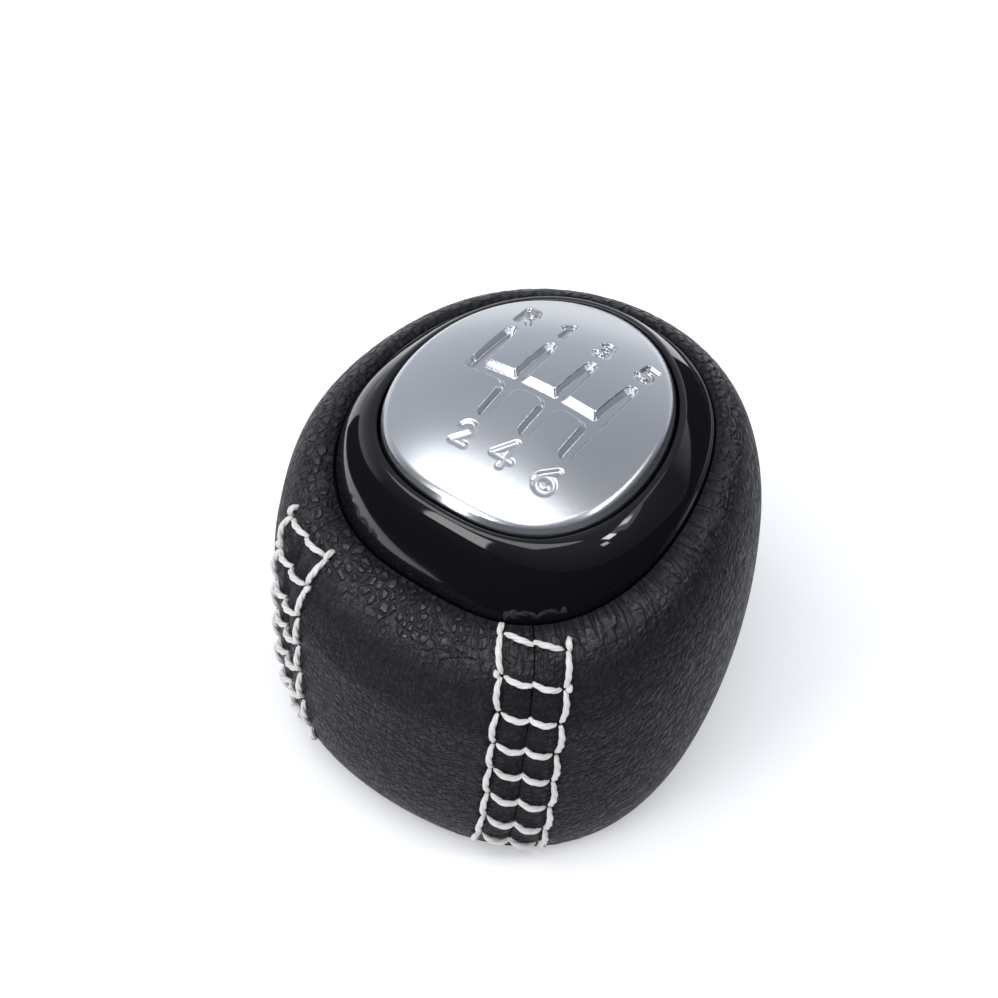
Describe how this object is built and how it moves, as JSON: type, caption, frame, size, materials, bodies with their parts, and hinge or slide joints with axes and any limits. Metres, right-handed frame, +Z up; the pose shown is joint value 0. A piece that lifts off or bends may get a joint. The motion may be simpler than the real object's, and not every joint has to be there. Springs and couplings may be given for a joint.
{
  "type": "gear shift knob",
  "caption": "Leather-covered gear shift knob with ladder-stitched seams, a gloss bezel and a domed metal plate that carries the shift pattern.",
  "frame": {"origin": "on the gear lever's axis at the mouth of the lever bore, in the plane of the base ring's face", "axes": "+Z up along the lever, +Y to the front of the car (the side of 1, 3 and 5), -Y to the driver, +X to the driver's right"},
  "size_m": [0.0532, 0.0569, 0.0505],
  "materials": {
    "satin_metal": "satin, fine blasted, pressed",
    "foam_tape": "closed-cell adhesive foam",
    "gloss_black": "high gloss moulding",
    "black_leather": "grained, drawn over the core",
    "pale_thread": "waxed twisted polyester",
    "core_plastic": "moulded",
    "black_rubber": "moulded",
    "plain_aluminium": "turned",
    "spring_steel": "drawn wire",
    "screw_steel": "zinc plated"
  },
  "bodies": {
    "root": {"shift_plate": "satin_metal", "plate_pad": "foam_tape", "bezel": "gloss_black", "rear_leather_panel": "black_leather", "front_leather_panel": "black_leather", "right_seam_thread": "pale_thread", "left_seam_thread": "pale_thread", "core": "core_plastic", "damper_sleeve": "black_rubber", "lever_sleeve": "plain_aluminium", "retaining_ring": "spring_steel", "base_ring": "gloss_black", "base_screws": "screw_steel"}
  },
  "joints": []
}
